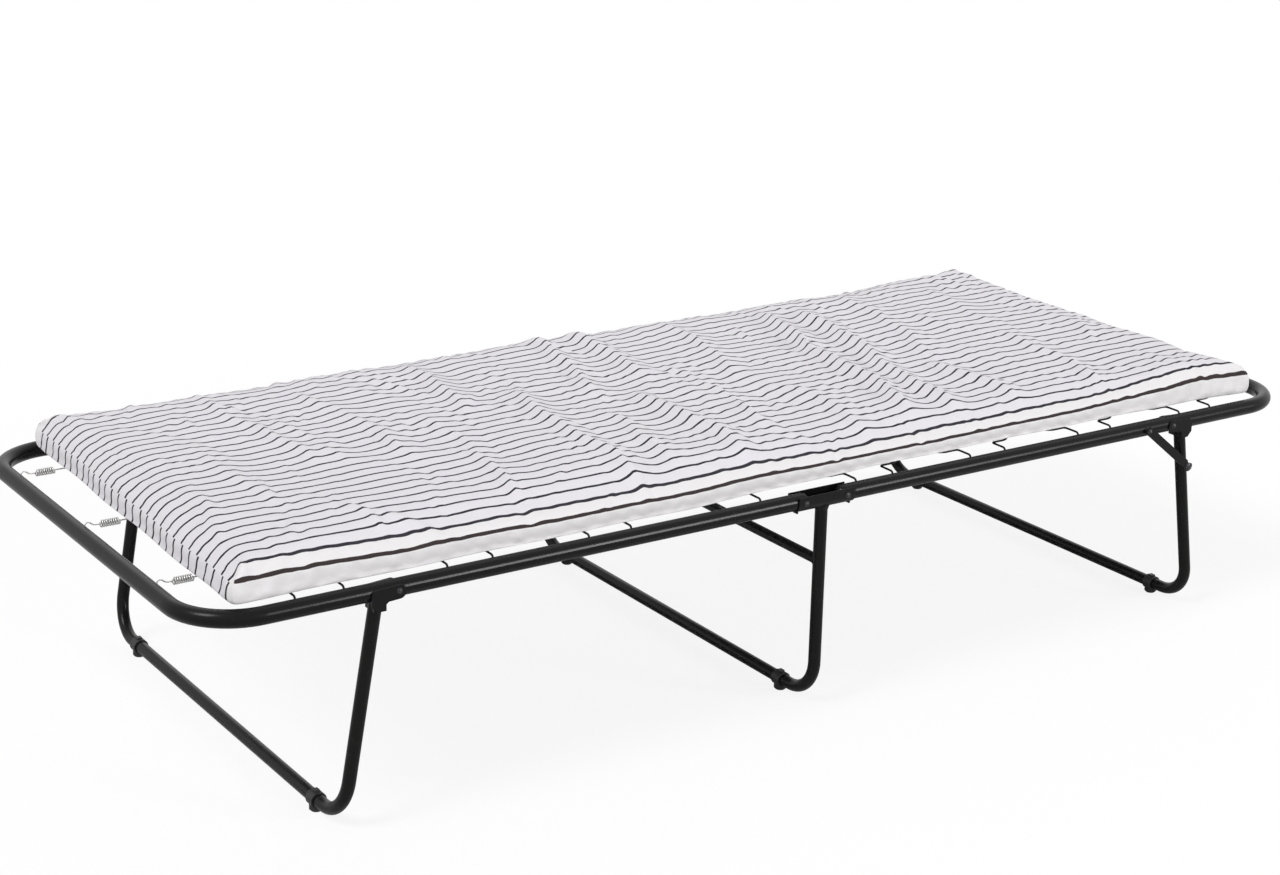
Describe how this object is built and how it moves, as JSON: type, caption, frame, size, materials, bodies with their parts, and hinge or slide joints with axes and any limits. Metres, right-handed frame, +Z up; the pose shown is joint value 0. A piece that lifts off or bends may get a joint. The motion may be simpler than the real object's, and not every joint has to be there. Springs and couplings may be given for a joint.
{
  "type": "folding bed",
  "caption": "Folding guest bed: two hinged tube half frames over a fixed centre leg, folding end legs with latch stays, wavy wire deck, coil springs and a thin striped pad.",
  "frame": {"origin": "on the floor, midway between the sides, under the fold line", "axes": "+X towards the head end, +Y towards the far side of the picture, +Z up"},
  "size_m": [2, 0.826, 0.4055],
  "materials": {
    "frame_paint": "glossy black powder coat",
    "leg_paint": "satin black powder coat",
    "sheet_paint": "satin black paint on pressed sheet",
    "wire_paint": "black painted spring wire",
    "rivet_steel": "blackened steel",
    "zinc": "bright zinc plate",
    "clip_plastic": "moulded black plastic",
    "cover": "woven cotton cover with thin dark stripes"
  },
  "bodies": {
    "centre": {"centre_leg": "leg_paint", "cross_bar": "leg_paint", "bracket_near": "leg_paint", "bracket_far": "leg_paint", "hinge_rivets": "rivet_steel", "feet_centre": "clip_plastic", "mattress_fold": "cover"},
    "foot_half": {"frame_foot": "frame_paint", "deck_foot": "wire_paint", "springs_foot": "zinc", "mattress_foot": "cover", "leg_rivets_foot": "rivet_steel", "stay_rivet_foot": "rivet_steel"},
    "head_half": {"frame_head": "frame_paint", "deck_head": "wire_paint", "springs_head": "zinc", "mattress_head": "cover", "leg_rivets_head": "rivet_steel", "stay_rivet_head": "rivet_steel"},
    "foot_leg": {"leg_foot": "leg_paint", "saddle_foot_near": "sheet_paint", "saddle_foot_far": "sheet_paint", "feet_foot": "clip_plastic", "stud_foot": "rivet_steel"},
    "head_leg": {"leg_head": "leg_paint", "saddle_head_near": "sheet_paint", "saddle_head_far": "sheet_paint", "feet_head": "clip_plastic", "stud_head": "rivet_steel"},
    "foot_stay": {"stay_foot": "sheet_paint"},
    "head_stay": {"stay_head": "sheet_paint"}
  },
  "joints": [
    {"name": "foot_half_fold", "type": "hinge", "parent": "centre", "child": "foot_half", "pos_m": [-0.0385, 0, 0.338], "axis": [0, 1, 0], "range_deg": [0, 78], "deforming": ["mattress_fold"]},
    {"name": "head_half_fold", "type": "hinge", "parent": "centre", "child": "head_half", "pos_m": [0.0385, 0, 0.338], "axis": [0, -1, 0], "range_deg": [0, 78], "deforming": ["mattress_fold"]},
    {"name": "foot_leg_fold", "type": "hinge", "parent": "foot_half", "child": "foot_leg", "pos_m": [-0.709, 0, 0.338], "axis": [0, -1, 0], "range_deg": [0, 99.9]},
    {"name": "head_leg_fold", "type": "hinge", "parent": "head_half", "child": "head_leg", "pos_m": [0.709, 0, 0.338], "axis": [0, 1, 0], "range_deg": [0, 99.9]},
    {"name": "foot_stay_swing", "type": "hinge", "parent": "foot_half", "child": "foot_stay", "pos_m": [-0.653, 0.3925, 0.338], "axis": [0, -1, 0], "range_deg": [0, 141.8]},
    {"name": "head_stay_swing", "type": "hinge", "parent": "head_half", "child": "head_stay", "pos_m": [0.653, -0.3925, 0.338], "axis": [0, 1, 0], "range_deg": [0, 141.8]}
  ],
  "couplings": [
    {"joint": "foot_stay_swing", "follows": "foot_leg_fold", "ratio": 1.4188},
    {"joint": "head_stay_swing", "follows": "head_leg_fold", "ratio": 1.4188}
  ]
}
